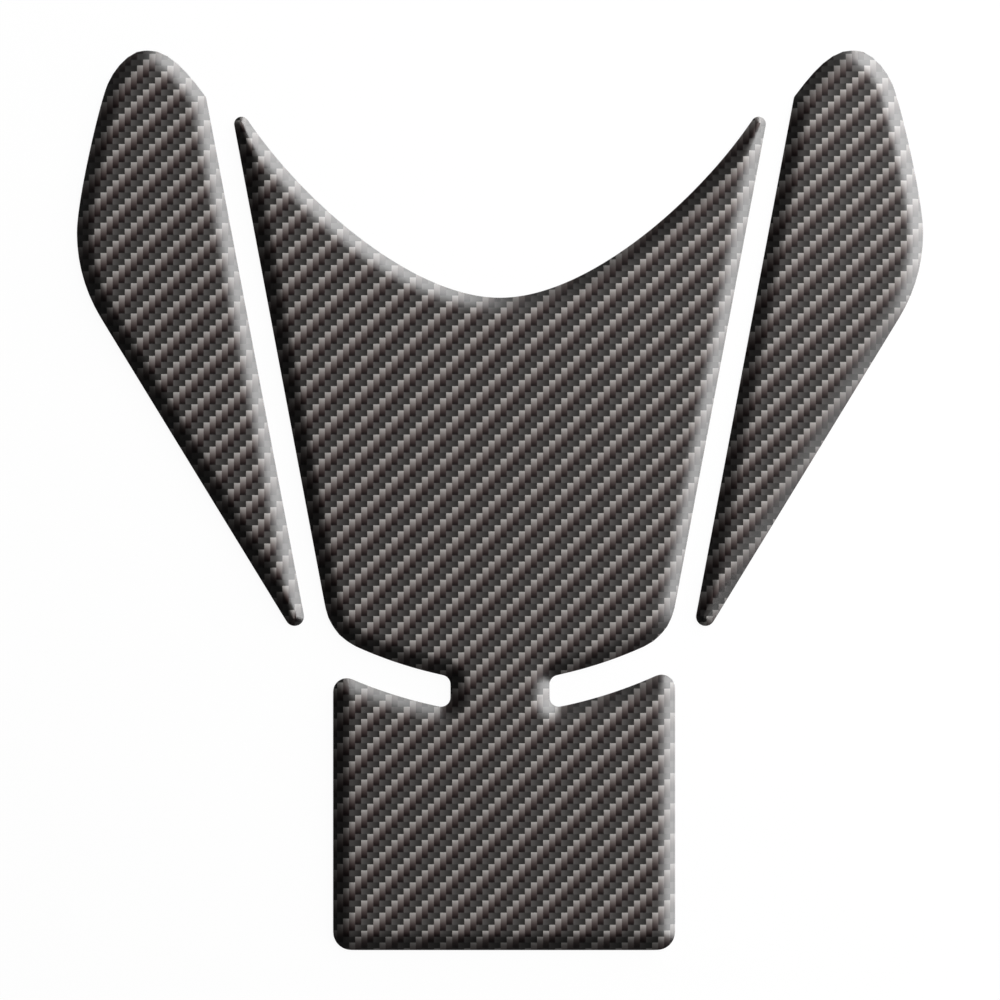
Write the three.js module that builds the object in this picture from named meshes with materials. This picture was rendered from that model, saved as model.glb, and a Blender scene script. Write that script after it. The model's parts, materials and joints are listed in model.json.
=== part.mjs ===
import * as THREE from 'three';

/*
 * Stick-on tank pad set for a motorcycle, lying on its adhesive backs.
 *
 * A centre pad and a mirrored pair of side pads are each one laminate: printed film with a clear
 * gel dome poured over it. Every pad therefore has a flat back, a thin upright edge and a top that
 * rises from the edge in a rounded shoulder to a level field.
 *
 * Frame, in millimetres: X to the rider's right, Y up the tank towards the filler cap, Z away from
 * the tank. The set is drawn from a datum on its centreline, at the lowest point of the cap bay,
 * and then moved so that its bounding box is centred on X and Y. The backs lie on z = 0.
 */

const { clamp, degToRad } = THREE.MathUtils;

// Section shared by the pads
const PAD_THICKNESS = 2.5;
const EDGE_WALL = 0.3;
const DOME_REACH = 5.05;
const TIP_ROOM = 0.9;
const CORNER_TURN = degToRad(130);

// Facets
const DOME_RINGS = 5;
const MAX_STEP = 3.4;
const MAX_TURN = degToRad(13);
const SAME_POINT = 0.001;

// Centre pad, body: two horns beside the cap bay, straight flanks and a curved chin
const HORN_SPREAD = 63.2;
const HORN_RISE = 42.5;
const HORN_RADIUS = 1.8;
const HORN_SLOPE = degToRad(55.9);
const BAY_FLOOR_HANDLE = 21.3;
const BAY_HORN_HANDLE = 24.2;
const FLANK_LEAN = degToRad(10.7);
const JAW_RADIUS = 13.1;
const CHIN_RADIUS = 103.9;
const CHIN_CENTRE_OFFSET = 7.6;
const BODY_LENGTH = 94.2;

// Centre pad, waist and tail block below the two slots
const WAIST_WIDTH = 24.2;
const SLOT_WIDTH = 7.7;
const SLOT_FILLET = 2.3;
const TAIL_WIDTH = 83.6;
const TAIL_OFFSET = 1;
const TAIL_LENGTH = 57.5;
const TAIL_TOP_RADIUS = 3.3;
const TAIL_CORNER_RADIUS = 4.4;

// Side pads: the inner edge follows the flank at a fixed gap
const SIDE_GAP = 5.5;
const SET_WIDTH = 206.9;
const SIDE_TIP_DROP = 77.9;
const SIDE_TIP_RADIUS = 2.3;
const BELLY_RISE = 15.9;
const BELLY_RADIUS = 39.8;
const BELLY_HANDLE = 6.6;
const CROWN_RISE = 60.6;
const CROWN_INSET = 17;
const CROWN_OUTER_HANDLE = 4.9;
const CROWN_INNER_HANDLE = 5.5;
const SHOULDER_INSET = 6.7;
const SHOULDER_DROP = 10.7;
const SHOULDER_LEAN = degToRad(17.1);
const SHOULDER_HANDLE = 8.8;
const CAP_LEAN = degToRad(13.3);
const CAP_HANDLE = 4.5;
const INNER_CORNER_DROP = 11.5;
const INNER_CORNER_SLOPE = degToRad(53.1);
const INNER_CORNER_HANDLE = 7.9;
const INNER_CORNER_RADIUS = 1.3;

// Finish
const PRINT_COLOUR = 0x4f4e4c;
const GEL_ROUGHNESS = 0.3;

const vec = (x, y) => new THREE.Vector2(x, y);
const along = (point, direction, distance) => point.clone().addScaledVector(direction, distance);
const bearing = (from, to) => Math.atan2(to.y - from.y, to.x - from.x);
const polar = (angle) => vec(Math.cos(angle), Math.sin(angle));

/** Distance from a line's start to where it leaves a circle. */
function lineOutOfCircle(start, direction, centre, radius) {
  const offset = start.clone().sub(centre);
  const half = offset.dot(direction);
  return Math.sqrt(half * half - offset.lengthSq() + radius * radius) - half;
}

/** Height of a circle's lower half at x. */
function underCircle(centre, radius, x) {
  return centre.y - Math.sqrt(radius * radius - (x - centre.x) ** 2);
}

/** The right flank: where it starts below the horn, its outward normal and its run downwards. */
function flank() {
  const normal = polar(-FLANK_LEAN);
  const down = polar(-FLANK_LEAN - Math.PI / 2);
  const horn = vec(HORN_SPREAD, HORN_RISE);
  return { horn, normal, down, start: along(horn, normal, HORN_RADIUS) };
}

/** Half of the centre pad, clockwise from the bay's floor to the middle of the tail's foot. */
function centreHalf(tailReach) {
  const { horn, normal, down, start } = flank();
  const path = new THREE.Path();

  const hornNormal = Math.PI / 2 + HORN_SLOPE;
  const bayEnd = along(horn, polar(hornNormal), HORN_RADIUS);
  const bayHandle = along(bayEnd, polar(HORN_SLOPE), -BAY_HORN_HANDLE);
  path.moveTo(0, 0);
  path.bezierCurveTo(BAY_FLOOR_HANDLE, 0, bayHandle.x, bayHandle.y, bayEnd.x, bayEnd.y);
  path.absarc(horn.x, horn.y, HORN_RADIUS, hornNormal, -FLANK_LEAN, true);

  const chinRise = Math.sqrt(CHIN_RADIUS ** 2 - CHIN_CENTRE_OFFSET ** 2);
  const chin = vec(-CHIN_CENTRE_OFFSET, chinRise - BODY_LENGTH);
  const jawLine = along(start, normal, -JAW_RADIUS);
  const jawRun = lineOutOfCircle(jawLine, down, chin, CHIN_RADIUS - JAW_RADIUS);
  const jaw = along(jawLine, down, jawRun);
  path.absarc(jaw.x, jaw.y, JAW_RADIUS, -FLANK_LEAN, bearing(chin, jaw), true);

  const waist = WAIST_WIDTH / 2;
  const filletX = waist + SLOT_FILLET;
  const upper = vec(filletX, underCircle(chin, CHIN_RADIUS + SLOT_FILLET, filletX));
  path.absarc(chin.x, chin.y, CHIN_RADIUS, bearing(chin, jaw), bearing(chin, upper), true);
  path.absarc(upper.x, upper.y, SLOT_FILLET, bearing(upper, chin), Math.PI, false);

  const tailTop = CHIN_RADIUS + SLOT_WIDTH;
  const lower = vec(filletX, underCircle(chin, tailTop - SLOT_FILLET, filletX));
  const lowerEnd = bearing(chin, lower);
  path.absarc(lower.x, lower.y, SLOT_FILLET, Math.PI, lowerEnd + 2 * Math.PI, false);

  const shoulderX = tailReach - TAIL_TOP_RADIUS;
  const shoulder = vec(shoulderX, underCircle(chin, tailTop + TAIL_TOP_RADIUS, shoulderX));
  path.absarc(chin.x, chin.y, tailTop, lowerEnd, bearing(chin, shoulder), false);
  path.absarc(shoulder.x, shoulder.y, TAIL_TOP_RADIUS, bearing(shoulder, chin), 0, true);

  const foot = underCircle(chin, tailTop, 0) - TAIL_LENGTH;
  const corner = vec(tailReach - TAIL_CORNER_RADIUS, foot + TAIL_CORNER_RADIUS);
  path.absarc(corner.x, corner.y, TAIL_CORNER_RADIUS, 0, -Math.PI / 2, true);
  path.lineTo(0, foot);
  return stations(path);
}

/** The right side pad, counter-clockwise from its crown. */
function sideOutline() {
  const { normal, down, start } = flank();
  const up = down.clone().negate();
  const inner = along(start, normal, SIDE_GAP);
  const outerX = SET_WIDTH / 2;
  const crown = vec(outerX - CROWN_INSET, CROWN_RISE);
  const path = new THREE.Path();

  const cornerRise = (CROWN_RISE - INNER_CORNER_DROP - inner.y) / up.y;
  const corner = along(inner, up, cornerRise);
  const fall = polar(INNER_CORNER_SLOPE).negate();
  const turn = Math.acos(fall.dot(down));
  const tangentLength = INNER_CORNER_RADIUS * Math.tan(turn / 2);
  const bend = along(corner, fall, -tangentLength);
  const bendHandle = along(bend, fall, -INNER_CORNER_HANDLE);
  path.moveTo(crown.x, crown.y);
  path.bezierCurveTo(
    crown.x - CROWN_INNER_HANDLE, crown.y, bendHandle.x, bendHandle.y, bend.x, bend.y,
  );
  const pivot = along(bend, vec(-fall.y, fall.x), INNER_CORNER_RADIUS);
  const pivotEnd = Math.PI - FLANK_LEAN;
  path.absarc(pivot.x, pivot.y, INNER_CORNER_RADIUS, pivotEnd - turn, pivotEnd, false);

  const tipLine = along(inner, normal, SIDE_TIP_RADIUS);
  const tip = along(tipLine, down, (tipLine.y + SIDE_TIP_DROP) / up.y);
  const belly = vec(outerX - BELLY_RADIUS, BELLY_RISE);
  const spread = Math.asin((BELLY_RADIUS - SIDE_TIP_RADIUS) / tip.distanceTo(belly));
  const hemNormal = bearing(tip, belly) - Math.PI / 2 - spread;
  const hemTurn = 2 * Math.PI + hemNormal;
  path.absarc(tip.x, tip.y, SIDE_TIP_RADIUS, pivotEnd, hemTurn, false);
  path.absarc(belly.x, belly.y, BELLY_RADIUS, hemNormal, 0, false);

  const shoulder = vec(outerX - SHOULDER_INSET, CROWN_RISE - SHOULDER_DROP);
  const arrive = along(shoulder, polar(SHOULDER_LEAN + Math.PI / 2), -SHOULDER_HANDLE);
  const leave = along(shoulder, polar(CAP_LEAN + Math.PI / 2), CAP_HANDLE);
  path.bezierCurveTo(
    outerX, BELLY_RISE + BELLY_HANDLE, arrive.x, arrive.y, shoulder.x, shoulder.y,
  );
  path.bezierCurveTo(
    leave.x, leave.y, crown.x + CROWN_OUTER_HANDLE, crown.y, crown.x, crown.y,
  );
  return stations(path);
}

/** How far a curve's direction swings from end to end. */
function totalTurn(curve) {
  const checks = 16;
  let turned = 0;
  for (let i = 0; i < checks; i += 1) {
    const before = curve.getTangent(i / checks);
    const after = curve.getTangent((i + 1) / checks);
    turned += Math.acos(THREE.MathUtils.clamp(before.dot(after), -1, 1));
  }
  return turned;
}

/** Points along a path, each with the direction of the path there. */
function stations(path) {
  const list = [];
  for (const curve of path.curves) {
    const length = curve.getLength();
    if (length < SAME_POINT) continue;
    const turns = curve.isLineCurve ? 0 : totalTurn(curve);
    const count = Math.max(1, Math.ceil(length / MAX_STEP), Math.ceil(turns / MAX_TURN));
    for (let i = 0; i <= count; i += 1) {
      const point = curve.getPoint(i / count);
      const direction = curve.getTangent(i / count);
      const last = list.at(-1);
      if (last && last.point.distanceTo(point) < SAME_POINT) {
        last.direction.add(direction).normalize();
      } else {
        list.push({ point, direction });
      }
    }
  }
  return list;
}

/** The same stations on the other side of the centreline. */
const mirrored = (list) => list.map(({ point, direction }) => ({
  point: vec(-point.x, point.y),
  direction: vec(-direction.x, direction.y),
}));

/** The same stations walked the other way. */
const reversed = (list) => list.map(({ point, direction }) => ({
  point,
  direction: direction.clone().negate(),
})).reverse();

/** Close a loop, dropping a last station that falls on the first. */
function closed(list) {
  const first = list[0];
  const last = list.at(-1);
  if (first.point.distanceTo(last.point) >= SAME_POINT) return list;
  first.direction.add(last.direction).normalize();
  return list.slice(0, -1);
}

/** The centre pad, counter-clockwise from the middle of the tail's foot. */
function centreOutline() {
  const right = centreHalf(TAIL_WIDTH / 2 + TAIL_OFFSET);
  const left = centreHalf(TAIL_WIDTH / 2 - TAIL_OFFSET);
  return closed([...reversed(right), ...mirrored(left).slice(1)]);
}

/** The angle that a direction turns through to become another. */
const turnTo = (from, to) => Math.atan2(from.cross(to), from.dot(to));

/**
 * Where the shoulder that rises from each station reaches the level field: square to the edge,
 * and short of the line on which it would meet the shoulder of another edge.
 */
function fieldStations(outline) {
  const count = outline.length;
  const checks = 4;
  const walls = outline.flatMap(({ point }, chord) => {
    const next = outline[(chord + 1) % count].point;
    return Array.from({ length: checks }, (_, j) => (
      { spot: point.clone().lerp(next, j / checks), chord: j ? chord : -1 }
    ));
  });
  return outline.map(({ point, direction }, i) => {
    const inward = vec(-direction.y, direction.x);
    const ownChords = [i, (i + count - 1) % count];
    let reach = DOME_REACH;
    for (const { spot, chord } of walls) {
      if (ownChords.includes(chord)) continue;
      const gap = spot.clone().sub(point);
      const depth = gap.dot(inward);
      if (depth > SAME_POINT) reach = Math.min(reach, TIP_ROOM * gap.lengthSq() / (2 * depth));
    }
    return { point, direction, field: along(point, inward, reach), free: reach === DOME_REACH };
  });
}

/**
 * Stations round a corner, whose shoulders would meet each other, all aim at the stretch of field
 * between the free stations on both sides of it. A narrow tip has no such stretch and is kept.
 */
function aimRoundCorners(edge) {
  const at = (i) => edge[(i + edge.length) % edge.length];
  return edge.map((station, i) => {
    if (station.free) return station;
    const ways = [-1, 1].map((way) => {
      let [steps, length, turn] = [0, 0, 0];
      do {
        const from = at(i + way * steps);
        steps += 1;
        const to = at(i + way * steps);
        length += from.point.distanceTo(to.point);
        turn += Math.abs(turnTo(from.direction, to.direction));
      } while (!at(i + way * steps).free && steps < edge.length);
      return { field: at(i + way * steps).field, length, turn };
    });
    if (ways[0].turn + ways[1].turn > CORNER_TURN) return station;
    const share = ways[0].length / (ways[0].length + ways[1].length);
    return { ...station, field: ways[0].field.clone().lerp(ways[1].field, share) };
  });
}

/** How far a spot lies in from the outline, up to the full reach of the shoulder. */
function depthFromEdge(spot, outline) {
  return outline.reduce((least, { point }, i) => {
    const side = outline[(i + 1) % outline.length].point.clone().sub(point);
    const gap = spot.clone().sub(point);
    const share = clamp(gap.dot(side) / side.lengthSq(), 0, 1);
    return Math.min(least, gap.addScaledVector(side, -share).length());
  }, DOME_REACH);
}

/** Whether the quad a, d, b, c is better cut from c to d than from a to b. */
function prefersSwap(a, b, c, d) {
  const fromC = [a.clone().sub(c), b.clone().sub(c)];
  const fromD = [b.clone().sub(d), a.clone().sub(d)];
  const cosines = [fromC[0].dot(fromC[1]), fromD[0].dot(fromD[1])];
  const sines = [fromC[0].cross(fromC[1]), fromD[0].cross(fromD[1])];
  return cosines[0] * sines[1] + sines[0] * cosines[1] < -SAME_POINT;
}

/** Triangles across a loop, with diagonals swapped until each is as compact as it can be. */
function compactFill(loop) {
  const faces = THREE.ShapeUtils.triangulateShape(loop, []);
  let swapped = true;
  while (swapped) {
    swapped = false;
    const sides = new Map();
    faces.forEach((face, f) => {
      face.forEach((start, i) => sides.set(`${start} ${face[(i + 1) % 3]}`, [f, face[(i + 2) % 3]]));
    });
    const settled = new Set();
    for (const [side, [f, c]] of sides) {
      const [a, b] = side.split(' ').map(Number);
      const [g, d] = sides.get(`${b} ${a}`) ?? [f, c];
      if (g === f || settled.has(f) || settled.has(g)) continue;
      if (!prefersSwap(loop[a], loop[b], loop[c], loop[d])) continue;
      faces[f] = [a, d, c];
      faces[g] = [d, b, c];
      settled.add(f);
      settled.add(g);
      swapped = true;
    }
  }
  return faces;
}

/** Share of the full height at a share of the reach: steep at the edge, level at the field. */
const domeRise = (share) => share * (3 - share ** 2) / 2;

/** One closed pad: flat back, upright edge, rounded shoulder in rings and a level field. */
function domedPad(outline) {
  const edge = aimRoundCorners(fieldStations(outline));
  const count = edge.length;
  const positions = [];
  const triangles = [];
  edge.forEach(({ point }) => positions.push(point.x, point.y, 0));
  for (let ring = 0; ring <= DOME_RINGS; ring += 1) {
    const share = ring / DOME_RINGS;
    for (const { point, field } of edge) {
      const spot = point.clone().lerp(field, share);
      const rise = ring ? domeRise(depthFromEdge(spot, edge) / DOME_REACH) : 0;
      positions.push(spot.x, spot.y, EDGE_WALL + (PAD_THICKNESS - EDGE_WALL) * rise);
    }
  }
  for (let row = 0; row <= DOME_RINGS; row += 1) {
    for (let i = 0; i < count; i += 1) {
      const next = (i + 1) % count;
      const low = row * count;
      const high = low + count;
      triangles.push(low + i, low + next, high + next, low + i, high + next, high + i);
    }
  }
  const back = edge.map(({ point }) => point);
  for (const [a, b, c] of compactFill(back)) {
    triangles.push(a, c, b);
  }
  const fieldStart = (DOME_RINGS + 1) * count;
  for (const [a, b, c] of compactFill(edge.map(({ field }) => field))) {
    triangles.push(fieldStart + a, fieldStart + b, fieldStart + c);
  }
  const geometry = new THREE.BufferGeometry();
  geometry.setAttribute('position', new THREE.Float32BufferAttribute(positions, 3));
  geometry.setIndex(triangles);
  geometry.computeVertexNormals();
  return geometry;
}

const outlines = {
  centre_pad: centreOutline(),
  right_side_pad: closed(sideOutline()),
  left_side_pad: closed(reversed(mirrored(sideOutline()))),
};

const extent = new THREE.Box2();
for (const outline of Object.values(outlines)) {
  outline.forEach(({ point }) => extent.expandByPoint(point));
}
const middle = extent.getCenter(vec(0, 0));

const gelOverPrint = new THREE.MeshStandardMaterial({
  color: PRINT_COLOUR,
  roughness: GEL_ROUGHNESS,
  metalness: 0,
});

const padSet = new THREE.Group();
for (const [name, outline] of Object.entries(outlines)) {
  const pad = new THREE.Mesh(domedPad(outline), gelOverPrint.clone());
  pad.name = name;
  pad.position.set(-middle.x, -middle.y, 0);
  padSet.add(pad);
}

export default padSet;
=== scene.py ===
"""Looks of a stick-on motorcycle tank pad set: clear gel domes over a printed twill.

The pads are taken from the packed frame, refined into smooth gel domes, given a printed
weave, a cut edge and an adhesive back, and laid on a pale floor under a low soft window.
"""

import json
import math

import bpy
from bpy.props import FloatProperty, FloatVectorProperty, IntProperty, PointerProperty
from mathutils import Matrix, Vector

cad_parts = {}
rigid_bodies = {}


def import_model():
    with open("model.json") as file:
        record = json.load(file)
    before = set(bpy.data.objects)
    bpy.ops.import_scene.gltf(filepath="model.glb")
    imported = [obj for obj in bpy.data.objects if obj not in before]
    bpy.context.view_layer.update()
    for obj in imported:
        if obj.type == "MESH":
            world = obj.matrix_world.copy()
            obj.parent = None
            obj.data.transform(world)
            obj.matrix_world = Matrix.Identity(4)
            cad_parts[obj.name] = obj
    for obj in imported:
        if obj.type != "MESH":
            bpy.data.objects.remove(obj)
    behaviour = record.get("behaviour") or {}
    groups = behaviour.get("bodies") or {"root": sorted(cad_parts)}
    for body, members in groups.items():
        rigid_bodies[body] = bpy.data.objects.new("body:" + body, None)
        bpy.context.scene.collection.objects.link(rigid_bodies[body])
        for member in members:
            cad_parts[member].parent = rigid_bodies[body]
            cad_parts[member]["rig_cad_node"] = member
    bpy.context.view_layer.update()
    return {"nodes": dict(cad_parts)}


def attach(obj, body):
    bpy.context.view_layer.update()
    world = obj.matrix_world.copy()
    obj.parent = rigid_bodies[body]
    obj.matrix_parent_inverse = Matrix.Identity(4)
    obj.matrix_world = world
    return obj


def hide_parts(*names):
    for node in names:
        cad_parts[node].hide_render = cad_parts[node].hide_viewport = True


bl_info = {
    "name": "Tank Pad Set",
    "version": (1, 0, 0),
    "blender": (4, 5, 0),
    "location": "3D View > Sidebar > Tank Pad",
    "description": "Gel-domed tank pads with a printed twill, and the stage they lie on",
    "category": "Object",
}

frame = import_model()
MM = 0.001
SENSOR = 36.0

# Columns or rows that a tow of each kind shows before it dives under
LEVEL_RUN = 2.0
UPRIGHT_RUN = 3.0

# Height that is surely above the back, and an upward share that is surely a level face
OFF_THE_BACK = 0.02 * MM
LEVEL_FACE = 0.99999
# Upward share that parts the top and the back from the cut edge
SIDE_FACE = 0.2


def print_ink(red, green, blue):
    """Scene-linear colour of an ink given as it looks on screen, 0 to 255."""
    shares = (red / 255, green / 255, blue / 255)
    return tuple(s / 12.92 if s <= 0.04045 else ((s + 0.055) / 1.055) ** 2.4 for s in shares)


def between(first, second, share):
    """A colour part of the way from one to another, in steps that look even on screen."""
    screen = 2.4
    return tuple(
        ((1 - share) * a ** (1 / screen) + share * b ** (1 / screen)) ** screen
        for a, b in zip(first, second)
    )


def ink(name, description, *screen):
    """A colour that a user can change."""
    return FloatVectorProperty(
        name=name,
        description=description,
        default=print_ink(*screen),
        size=3,
        min=0.0,
        max=1.0,
        subtype="COLOR",
    )


class GelSettings(bpy.types.PropertyGroup):
    """Shape and surface of the clear gel that is poured over the print."""

    smoothing: IntProperty(
        name="Smoothing",
        description="Subdivision levels that turn the facets into a poured surface",
        default=2,
        min=1,
        max=3,
    )
    edge_wall: FloatProperty(
        name="Edge Wall",
        description="Height of the upright cut edge below the dome",
        default=0.3 * MM,
        min=0.05 * MM,
        subtype="DISTANCE",
        unit="LENGTH",
    )
    rim_crease: FloatProperty(
        name="Rim Crease",
        description="How sharply the dome starts at the top of the cut edge",
        default=1.0,
        min=0.0,
        max=1.0,
        subtype="FACTOR",
    )
    roughness: FloatProperty(
        name="Roughness",
        description="Surface roughness of the cured gel",
        default=0.35,
        min=0.0,
        max=1.0,
        subtype="FACTOR",
    )
    refraction: FloatProperty(
        name="Refraction",
        description="Index of refraction of the cured gel",
        default=1.65,
        min=1.0,
        max=2.0,
    )
    # Painted shade: how dark the print's colour is painted where the gel's rim is steepest
    painted_rim_shade: FloatProperty(
        name="Rim Shade",
        description="Brightness of the print that is left where the gel's rim is steepest",
        default=0.4,
        min=0.0,
        max=1.0,
        subtype="FACTOR",
    )
    # Slope at which the painted shade on the print is darkest
    rim_steepness: FloatProperty(
        name="Rim Steepness",
        description="Slope of the gel at its rim",
        default=math.radians(34),
        min=math.radians(5),
        max=math.radians(80),
        subtype="ANGLE",
        unit="ROTATION",
    )
    flow_length: FloatProperty(
        name="Flow Length",
        description="Distance between the faint waves left by the pour",
        default=22 * MM,
        min=1 * MM,
        subtype="DISTANCE",
        unit="LENGTH",
    )
    flow_height: FloatProperty(
        name="Flow Height",
        description="Height of the faint waves left by the pour",
        default=0.01 * MM,
        min=0.0,
        subtype="DISTANCE",
        unit="LENGTH",
    )


class WeaveSettings(bpy.types.PropertyGroup):
    """The printed twill, which climbs one column for each row."""

    column: FloatProperty(
        name="Column",
        description="Width of one upright tow",
        default=1.4795 * MM,
        min=0.2 * MM,
        subtype="DISTANCE",
        unit="LENGTH",
    )
    row: FloatProperty(
        name="Row",
        description="Height of one level tow",
        default=1.47705 * MM,
        min=0.2 * MM,
        subtype="DISTANCE",
        unit="LENGTH",
    )
    column_start: FloatProperty(
        name="Column Start",
        description="Columns between the left end of the print and the centreline",
        default=81.896,
    )
    row_start: FloatProperty(
        name="Row Start",
        description="Rows between the top of the print and the set's middle",
        default=81.809,
    )
    upright_crest: ink("Upright Crest", "Where an upright tow comes to the top", 162, 159, 156)
    upright_middle: ink("Upright Middle", "Half-way down an upright tow", 87, 78, 76)
    upright_foot: ink("Upright Foot", "Where an upright tow dives under", 8, 1, 1)
    level_head: ink("Level Head", "Left end of a level tow", 80, 77, 76)
    level_foot: ink("Level Foot", "Right end of a level tow", 34, 33, 31)
    fibre_depth: FloatProperty(
        name="Fibre Depth",
        description="Contrast of the single fibres printed along each tow",
        default=0.07,
        min=0.0,
        max=1.0,
        subtype="FACTOR",
    )


class BackSettings(bpy.types.PropertyGroup):
    """The film's cut edge and the adhesive on the back."""

    edge: ink("Cut Edge", "Side of the film under the gel", 38, 37, 36)
    adhesive: ink("Adhesive", "Adhesive coat on the back", 196, 196, 190)


class StageSettings(bpy.types.PropertyGroup):
    """Floor, camera and light."""

    picture_width: FloatProperty(
        name="Picture Width",
        description="Width of floor that the square picture takes in",
        default=244.44 * MM,
        min=10 * MM,
        subtype="DISTANCE",
        unit="LENGTH",
    )
    lens: FloatProperty(
        name="Lens",
        description="Focal length in millimetres on a 36 mm sensor",
        default=200.0,
        min=10.0,
    )
    window_bearing: FloatProperty(
        name="Window Bearing",
        description="Direction of the soft window, from +X towards +Y",
        default=math.radians(31.5),
        subtype="ANGLE",
        unit="ROTATION",
    )
    window_rise: FloatProperty(
        name="Window Rise",
        description="Height of the soft window's middle above the floor, as an angle",
        default=math.radians(21),
        subtype="ANGLE",
        unit="ROTATION",
    )
    window_distance: FloatProperty(
        name="Window Distance",
        description="Distance from the pads to the soft window",
        default=1.2,
        min=0.2,
        subtype="DISTANCE",
        unit="LENGTH",
    )
    window_width: FloatProperty(
        name="Window Width",
        description="Width of the soft window",
        default=2.8,
        min=0.1,
        subtype="DISTANCE",
        unit="LENGTH",
    )
    window_height: FloatProperty(
        name="Window Height",
        description="Height of the soft window",
        default=0.88,
        min=0.1,
        subtype="DISTANCE",
        unit="LENGTH",
    )
    window_power: FloatProperty(
        name="Window Power",
        description="Power of the soft window in watts",
        default=68.5,
        min=0.0,
        unit="POWER",
    )
    sheer_rise: FloatProperty(
        name="Sheer Rise",
        description="Height of the middle of the weak light above the window, as an angle",
        default=math.radians(54),
        subtype="ANGLE",
        unit="ROTATION",
    )
    sheer_width: FloatProperty(
        name="Sheer Width",
        description="Width of the weak light above the window",
        default=1.3,
        min=0.1,
        subtype="DISTANCE",
        unit="LENGTH",
    )
    sheer_height: FloatProperty(
        name="Sheer Height",
        description="Height of the weak light above the window",
        default=0.47,
        min=0.1,
        subtype="DISTANCE",
        unit="LENGTH",
    )
    sheer_power: FloatProperty(
        name="Sheer Power",
        description="Power of the weak light above the window in watts",
        default=3.0,
        min=0.0,
        unit="POWER",
    )
    room_light: FloatProperty(
        name="Room Light",
        description="Brightness of the room around the pads",
        default=0.01,
        min=0.0,
    )


SETTINGS = {
    "tank_pad_gel": GelSettings,
    "tank_pad_weave": WeaveSettings,
    "tank_pad_back": BackSettings,
    "tank_pad_stage": StageSettings,
}


# Materials


class Recipe:
    """A material's node tree, with short ways to add and join its nodes."""

    def __init__(self, name):
        self.material = bpy.data.materials.new(name)
        self.material.use_nodes = True
        self.tree = self.material.node_tree
        self.tree.nodes.clear()

    def add(self, kind, **settings):
        node = self.tree.nodes.new("ShaderNode" + kind)
        for name, value in settings.items():
            setattr(node, name, value)
        return node

    def feed(self, socket, value):
        """Give a socket a number or a colour, or join an output to it."""
        if isinstance(value, bpy.types.NodeSocket):
            self.tree.links.new(value, socket)
        else:
            socket.default_value = value

    def sum(self, operation, *values):
        node = self.add("Math", operation=operation)
        for socket, value in zip(node.inputs, values):
            self.feed(socket, value)
        return node.outputs[0]

    def blend(self, share, first, second, mode="MIX"):
        node = self.add("Mix", data_type="RGBA", blend_type=mode)
        self.feed(node.inputs["Factor"], share)
        self.feed(node.inputs[6], first)
        self.feed(node.inputs[7], second)
        return node.outputs[2]

    def ramp(self, share, stops):
        """Colours along a tow, from (share, colour) stops."""
        node = self.add("ValToRGB")
        points = node.color_ramp.elements
        while len(points) < len(stops):
            points.new(0.5)
        for point, (place, colour) in zip(points, stops):
            point.position = place
            point.color = (*colour, 1.0)
        self.feed(node.inputs[0], share)
        return node.outputs[0]

    def shading(self, share, *inks):
        """Even steps on screen from each ink to the next along a tow."""
        steps = 4
        spans = len(inks) - 1
        stops = [
            ((span + step / steps) / spans, between(inks[span], inks[span + 1], step / steps))
            for span in range(spans)
            for step in range(steps)
        ]
        return self.ramp(share, [*stops, (1.0, inks[-1])])

    def place(self):
        """The pad's own X, Y and Z, and all three together, in metres."""
        own = self.add("TexCoord").outputs["Object"]
        apart = self.add("SeparateXYZ")
        self.feed(apart.inputs[0], own)
        return (*apart.outputs, own)

    def noise(self, vector, scale, detail=2.0):
        node = self.add("TexNoise")
        self.feed(node.inputs["Vector"], vector)
        node.inputs["Scale"].default_value = scale
        node.inputs["Detail"].default_value = detail
        return node.outputs["Fac"]

    def stretched(self, vector, across, down):
        """Coordinates scaled by their own amounts across and down."""
        node = self.add("Mapping")
        self.feed(node.inputs["Vector"], vector)
        node.inputs["Scale"].default_value = (across, down, 1.0)
        return node.outputs[0]

    def bump(self, height, depth):
        node = self.add("Bump")
        node.inputs["Distance"].default_value = depth
        self.feed(node.inputs["Height"], height)
        return node.outputs[0]

    def finish(self, **sockets):
        """Close the tree with a surface whose sockets are named with _ for a space."""
        surface = self.add("BsdfPrincipled")
        for name, value in sockets.items():
            self.feed(surface.inputs[name.replace("_", " ")], value)
        output = self.add("OutputMaterial")
        self.tree.links.new(surface.outputs[0], output.inputs[0])
        return self.material


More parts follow.
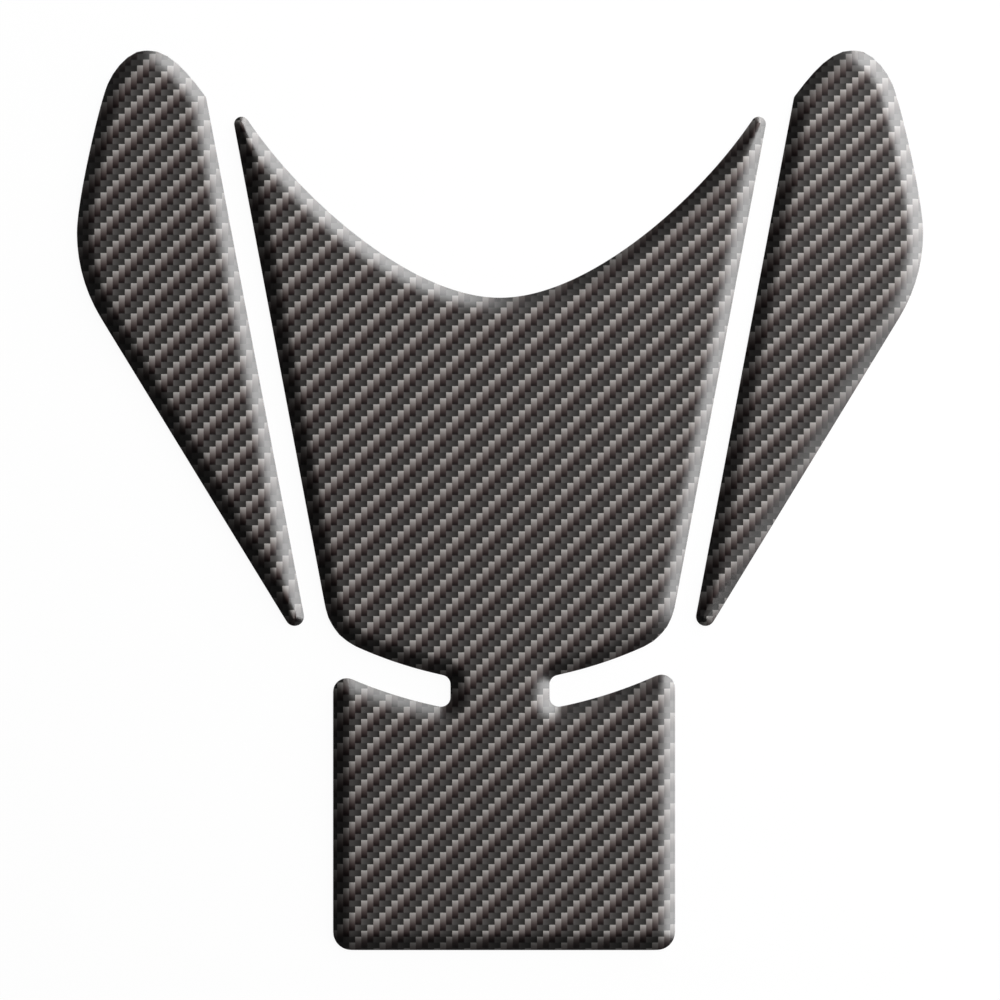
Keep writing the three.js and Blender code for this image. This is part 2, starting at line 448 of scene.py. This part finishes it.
def twill_print(recipe, weave):
    """Colour of the printed twill: shaded tows that rise bright and dive dark."""
    x, y, _, own = recipe.place()
    column = recipe.sum("MULTIPLY_ADD", x, 1 / weave.column, weave.column_start)
    row = recipe.sum("MULTIPLY_ADD", y, -1 / weave.row, weave.row_start)
    step = recipe.sum("ADD", recipe.sum("FLOOR", column), recipe.sum("FLOOR", row))
    phase = recipe.sum("FLOORED_MODULO", step, LEVEL_RUN + UPRIGHT_RUN)
    upright = recipe.sum("GREATER_THAN", phase, LEVEL_RUN - 0.5)
    in_column = recipe.sum("FRACT", column)
    in_row = recipe.sum("FRACT", row)
    rows_down = recipe.sum("ADD", recipe.sum("ADD", phase, in_row), -LEVEL_RUN)
    down = recipe.sum("DIVIDE", rows_down, UPRIGHT_RUN)
    across = recipe.sum("DIVIDE", recipe.sum("ADD", phase, in_column), LEVEL_RUN)
    upright_tow = recipe.shading(
        down, tuple(weave.upright_crest), tuple(weave.upright_middle), tuple(weave.upright_foot)
    )
    level_tow = recipe.shading(across, tuple(weave.level_head), tuple(weave.level_foot))
    tow = recipe.blend(upright, level_tow, upright_tow)
    beside, along = 9000.0, 350.0
    hair_down = recipe.noise(recipe.stretched(own, beside, along), 1.0, 1.0)
    hair_across = recipe.noise(recipe.stretched(own, along, beside), 1.0, 1.0)
    hair = recipe.blend(upright, hair_across, hair_down)
    depth = weave.fibre_depth
    shade = recipe.sum("MULTIPLY_ADD", hair, 2 * depth, 1 - depth)
    return recipe.blend(1.0, tow, shade, "MULTIPLY")


def gel_over_print(gel, weave):
    """Clear domed gel over the printed twill, with painted shade that darkens the print's colour
    where the gel's rim is steep.
    """
    recipe = Recipe("gel over twill print")
    colour = twill_print(recipe, weave)
    # Painted shade: the print's colour is darkened as the surface tilts from level, down to the
    # rim shade value at the rim's steepness
    facing = recipe.add("SeparateXYZ")
    recipe.feed(facing.inputs[0], recipe.add("TexCoord").outputs["Normal"])
    level = recipe.add("MapRange")
    recipe.feed(level.inputs["Value"], facing.outputs["Z"])
    level.inputs["From Min"].default_value = math.cos(gel.rim_steepness)
    level.inputs["From Max"].default_value = 1.0
    softness = 1.5
    easing = recipe.sum("POWER", level.outputs[0], softness)
    shade = recipe.sum("MULTIPLY_ADD", easing, 1 - gel.painted_rim_shade, gel.painted_rim_shade)
    own = recipe.place()[3]
    flow = recipe.noise(own, 1 / gel.flow_length, 1.0)
    return recipe.finish(
        # Base colour is the printed twill times the painted rim shade
        Base_Color=recipe.blend(1.0, colour, shade, "MULTIPLY"),
        Roughness=gel.roughness,
        IOR=gel.refraction,
        Normal=recipe.bump(flow, gel.flow_height),
    )


def cut_edge(back):
    """Side of the film, where the blade went through print and carrier."""
    recipe = Recipe("cut film edge")
    own = recipe.place()[3]
    grain = recipe.noise(recipe.stretched(own, 900.0, 900.0), 1.0, 3.0)
    edge = tuple(back.edge)
    colour = recipe.ramp(grain, [(0.3, edge), (0.7, tuple(1.5 * c for c in edge))])
    return recipe.finish(Base_Color=colour, Roughness=0.45, Normal=recipe.bump(grain, 0.02 * MM))


def adhesive_back(back):
    """Matt adhesive coat with a faint mottle."""
    recipe = Recipe("adhesive back")
    own = recipe.place()[3]
    mottle = recipe.noise(own, 260.0, 4.0)
    adhesive = tuple(back.adhesive)
    colour = recipe.ramp(mottle, [(0.3, tuple(0.88 * c for c in adhesive)), (0.7, adhesive)])
    return recipe.finish(Base_Color=colour, Roughness=0.7, Normal=recipe.bump(mottle, 0.03 * MM))


# Modelling


def alone(piece):
    """Make one object the only selected one, and the active one."""
    bpy.ops.object.select_all(action="DESELECT")
    piece.select_set(True)
    bpy.context.view_layer.objects.active = piece


def pick(piece, faces=None, edges=None):
    """Enter edit mode with only the faces, or only the edges, that pass a test selected."""
    mesh = piece.data
    for part in (mesh.vertices, mesh.edges, mesh.polygons):
        part.foreach_set("select", [False] * len(part))
    if faces:
        mesh.polygons.foreach_set("select", [bool(faces(p)) for p in mesh.polygons])
    if edges:
        ends = mesh.vertices
        wanted = [bool(edges(*(ends[v].co for v in e.vertices))) for e in mesh.edges]
        mesh.edges.foreach_set("select", wanted)
    bpy.ops.object.mode_set(mode="EDIT")
    bpy.ops.mesh.select_mode(type="FACE" if faces else "EDGE")


def blank(node, name):
    """A merged copy of a CAD pad, ready to be refined."""
    alone(frame["nodes"][node])
    bpy.ops.object.duplicate()
    piece = bpy.context.view_layer.objects.active
    piece.name = name
    piece.data.name = name
    del piece["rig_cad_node"]
    piece.data.materials.clear()
    bpy.ops.object.mode_set(mode="EDIT")
    bpy.ops.mesh.select_all(action="SELECT")
    bpy.ops.mesh.remove_doubles(threshold=0.005 * MM)
    bpy.ops.object.mode_set(mode="OBJECT")
    bpy.ops.mesh.customdata_custom_splitnormals_clear()
    return piece


def pour(piece, gel):
    """Turn the faceted dome into a smooth one, with its rims kept."""
    low = OFF_THE_BACK
    high = gel.edge_wall + low
    pick(piece, faces=lambda p: p.center.z > low and p.normal.z < LEVEL_FACE)
    bpy.ops.mesh.tris_convert_to_quads(
        face_threshold=math.radians(40), shape_threshold=math.radians(60)
    )
    bpy.ops.object.mode_set(mode="OBJECT")
    pick(piece, edges=lambda a, b: max(a.z, b.z) < low)
    bpy.ops.transform.edge_crease(value=1.0)
    bpy.ops.object.mode_set(mode="OBJECT")
    pick(piece, edges=lambda a, b: min(a.z, b.z) > low and max(a.z, b.z) < high)
    bpy.ops.transform.edge_crease(value=gel.rim_crease)
    bpy.ops.object.mode_set(mode="OBJECT")
    surface = piece.modifiers.new("gel surface", "SUBSURF")
    surface.levels = gel.smoothing
    surface.render_levels = gel.smoothing
    bpy.ops.object.modifier_apply(modifier=surface.name)
    bpy.ops.object.shade_smooth_by_angle(angle=math.radians(38))


def dress(piece, coats, gel):
    """Give the top, the cut edge and the back their own materials."""
    for coat in coats:
        piece.data.materials.append(coat)
    just_over = 1.05
    wall = gel.edge_wall * just_over
    tests = (
        lambda p: p.normal.z > SIDE_FACE or p.center.z > wall,
        lambda p: abs(p.normal.z) <= SIDE_FACE and p.center.z <= wall,
        lambda p: p.normal.z < -SIDE_FACE,
    )
    for number, test in enumerate(tests):
        pick(piece, faces=test)
        piece.active_material_index = number
        bpy.ops.object.material_slot_assign()
        bpy.ops.object.mode_set(mode="OBJECT")


def make_pad(context, node, name):
    """One finished pad in the place of its CAD node."""
    scene = context.scene
    gel = scene.tank_pad_gel
    piece = blank(node, name)
    pour(piece, gel)
    names = ("gel over twill print", "cut film edge", "adhesive back")
    if names[0] not in bpy.data.materials:
        gel_over_print(gel, scene.tank_pad_weave)
        cut_edge(scene.tank_pad_back)
        adhesive_back(scene.tank_pad_back)
    dress(piece, [bpy.data.materials[n] for n in names], gel)
    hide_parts(node)
    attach(piece, "root")
    return piece


class TANKPAD_OT_centre_pad(bpy.types.Operator):
    """Make the horned centre pad with its waist and tail"""

    bl_idname = "tank_pad.centre_pad"
    bl_label = "Centre Pad"

    def execute(self, context):
        make_pad(context, "centre_pad", "centre_gel_pad")
        return {"FINISHED"}


class TANKPAD_OT_side_pads(bpy.types.Operator):
    """Make the mirrored pair of side pads"""

    bl_idname = "tank_pad.side_pads"
    bl_label = "Side Pads"

    def execute(self, context):
        make_pad(context, "left_side_pad", "left_gel_pad")
        make_pad(context, "right_side_pad", "right_gel_pad")
        return {"FINISHED"}


# Stage


def pale_floor():
    """White where it is looked at or mirrored, with the pads' shadow, and a pale grey bounce."""
    recipe = Recipe("pale floor")
    speckle = recipe.noise(recipe.place()[3], 40.0, 2.0)
    dull, bright = ((level, level, level) for level in (0.91, 0.95))
    colour = recipe.ramp(speckle, [(0.3, dull), (0.7, bright)])
    paint = recipe.add("BsdfDiffuse")
    recipe.feed(paint.inputs[0], colour)
    grey = recipe.add("BsdfDiffuse")
    recipe.feed(grey.inputs[0], (0.15, 0.15, 0.15, 1.0))
    glow = recipe.add("Emission")
    seen = recipe.add("MixShader")
    glowing_share = 0.94
    recipe.feed(seen.inputs[0], glowing_share)
    recipe.feed(seen.inputs[1], paint.outputs[0])
    recipe.feed(seen.inputs[2], glow.outputs[0])
    path = recipe.add("LightPath")
    looks = ("Is Camera Ray", "Is Glossy Ray", "Is Transmission Ray")
    camera, glossy, through = (path.outputs[name] for name in looks)
    white = recipe.sum("MAXIMUM", recipe.sum("MAXIMUM", camera, glossy), through)
    chosen = recipe.add("MixShader")
    recipe.feed(chosen.inputs[0], white)
    recipe.feed(chosen.inputs[1], grey.outputs[0])
    recipe.feed(chosen.inputs[2], seen.outputs[0])
    output = recipe.add("OutputMaterial")
    recipe.feed(output.inputs[0], chosen.outputs[0])
    return recipe.material


def light_room(scene, level):
    """A dim even room that shows white behind the floor."""
    world = bpy.data.worlds.new("studio room")
    world.use_nodes = True
    nodes, links = world.node_tree.nodes, world.node_tree.links
    nodes.clear()
    path = nodes.new("ShaderNodeLightPath")
    behind = nodes.new("ShaderNodeBackground")
    behind.inputs[0].default_value = (1.0, 1.0, 1.0, 1.0)
    around = nodes.new("ShaderNodeBackground")
    around.inputs[0].default_value = (1.0, 1.0, 1.0, 1.0)
    around.inputs[1].default_value = level
    chosen = nodes.new("ShaderNodeMixShader")
    output = nodes.new("ShaderNodeOutputWorld")
    links.new(path.outputs["Is Camera Ray"], chosen.inputs[0])
    links.new(around.outputs[0], chosen.inputs[1])
    links.new(behind.outputs[0], chosen.inputs[2])
    links.new(chosen.outputs[0], output.inputs[0])
    scene.world = world


def open_light(stage, name):
    """A soft rectangle of light that faces the pads from the stage's bearing."""
    rise, width, height, power = (
        getattr(stage, name + part) for part in ("_rise", "_width", "_height", "_power")
    )
    bearing = stage.window_bearing
    towards = Vector((
        math.cos(bearing) * math.cos(rise),
        math.sin(bearing) * math.cos(rise),
        math.sin(rise),
    ))
    turn = towards.to_track_quat("Z", "Y").to_euler()
    place = towards * stage.window_distance
    bpy.ops.object.light_add(type="AREA", location=place, rotation=turn)
    light = bpy.context.view_layer.objects.active
    light.name = "soft_" + name
    light.data.shape = "RECTANGLE"
    light.data.size = width
    light.data.size_y = height
    light.data.energy = power


class TANKPAD_OT_stage(bpy.types.Operator):
    """Lay the floor, open the soft window and set the camera straight above"""

    bl_idname = "tank_pad.stage"
    bl_label = "Stage"

    def execute(self, context):
        scene = context.scene
        stage = scene.tank_pad_stage
        drop = 0.1 * MM
        bpy.ops.mesh.primitive_plane_add(size=8.0, location=(0.0, 0.0, -drop))
        floor = context.view_layer.objects.active
        floor.name = "studio_floor"
        floor.data.materials.append(pale_floor())

        for name in ("window", "sheer"):
            open_light(stage, name)
        light_room(scene, stage.room_light)

        rim = scene.tank_pad_gel.edge_wall
        height = rim + stage.picture_width * stage.lens / SENSOR
        bpy.ops.object.camera_add(location=(0.0, 0.0, height), rotation=(0.0, 0.0, 0.0))
        camera = context.view_layer.objects.active
        camera.name = "top_camera"
        camera.data.lens = stage.lens
        camera.data.sensor_width = SENSOR
        scene.camera = camera
        scene.view_settings.view_transform = "Standard"
        return {"FINISHED"}


class TANKPAD_PT_sidebar(bpy.types.Panel):
    """Sizes, colours and light of the tank pads"""

    bl_label = "Tank Pad Set"
    bl_idname = "TANKPAD_PT_sidebar"
    bl_space_type = "VIEW_3D"
    bl_region_type = "UI"
    bl_category = "Tank Pad"

    def draw(self, context):
        for operator in (TANKPAD_OT_centre_pad, TANKPAD_OT_side_pads, TANKPAD_OT_stage):
            self.layout.operator(operator.bl_idname)
        for attribute, group in SETTINGS.items():
            box = self.layout.box()
            box.label(text=group.__doc__)
            settings = getattr(context.scene, attribute)
            for name in group.__annotations__:
                box.prop(settings, name)


CLASSES = (
    *SETTINGS.values(),
    TANKPAD_OT_centre_pad,
    TANKPAD_OT_side_pads,
    TANKPAD_OT_stage,
    TANKPAD_PT_sidebar,
)


def register():
    for cls in CLASSES:
        bpy.utils.register_class(cls)
    for attribute, group in SETTINGS.items():
        setattr(bpy.types.Scene, attribute, PointerProperty(type=group))


def unregister():
    for attribute in SETTINGS:
        delattr(bpy.types.Scene, attribute)
    for cls in reversed(CLASSES):
        bpy.utils.unregister_class(cls)


def main():
    register()
    bpy.ops.tank_pad.stage()
    bpy.ops.tank_pad.centre_pad()
    bpy.ops.tank_pad.side_pads()


if __name__ == "__main__":
    main()
